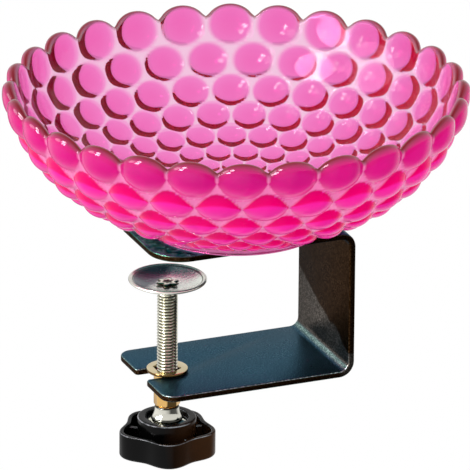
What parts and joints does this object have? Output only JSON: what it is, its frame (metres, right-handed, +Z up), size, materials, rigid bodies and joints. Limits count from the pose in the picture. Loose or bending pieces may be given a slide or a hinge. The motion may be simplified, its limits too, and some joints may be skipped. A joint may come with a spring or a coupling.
{
  "type": "clamp-on feeding bowl",
  "caption": "Translucent hobnail feeding bowl bolted on the jaw of a C-shaped strip clamp, with a thumbscrew, dished pressure pad and star knob.",
  "frame": {"origin": "middle of the upper jaw's flat underside, straight below the bowl's axis, in the plane that the flush screw head shares", "axes": "+Z up through the bowl; -X towards the clamp's open mouth; Y across the strip"},
  "size_m": [0.177, 0.177, 0.1473],
  "materials": {
    "pink_bowl": "clear pink, polished, domed outside",
    "powder_coat": "black powder coat, fine grain, satin",
    "zinc": "bright zinc plate",
    "bright_steel": "polished",
    "brass": "turned, bright",
    "black_plastic": "moulded, glossy",
    "rubber": "matt"
  },
  "bodies": {
    "frame": {"clamp_bracket": "powder_coat", "bowl": "pink_bowl", "foot_gasket": "rubber", "bowl_screw": "zinc", "bowl_seal": "rubber", "bowl_washer": "bright_steel", "bowl_cap_nut": "bright_steel"},
    "nut": {"insert_nut": "brass"},
    "pad": {"pressure_pad": "zinc"},
    "screw": {"clamp_screw": "zinc", "cone_collar": "bright_steel", "star_knob": "black_plastic"}
  },
  "joints": [
    {"name": "fork_slide", "type": "slide", "parent": "frame", "child": "nut", "axis": [-1, 0, 0], "range_m": [0, 0.015]},
    {"name": "pad_lift", "type": "slide", "parent": "nut", "child": "pad", "axis": [0, 0, 1], "range_m": [-0.0325, 0]},
    {"name": "screw_turn", "type": "hinge", "parent": "pad", "child": "screw", "pos_m": [-0.0276, 0, -0.05], "axis": [0, 0, 1], "range_deg": [-9361, 0]}
  ],
  "couplings": [
    {"joint": "screw_turn", "follows": "pad_lift", "rad_per_m": 5026.5}
  ]
}
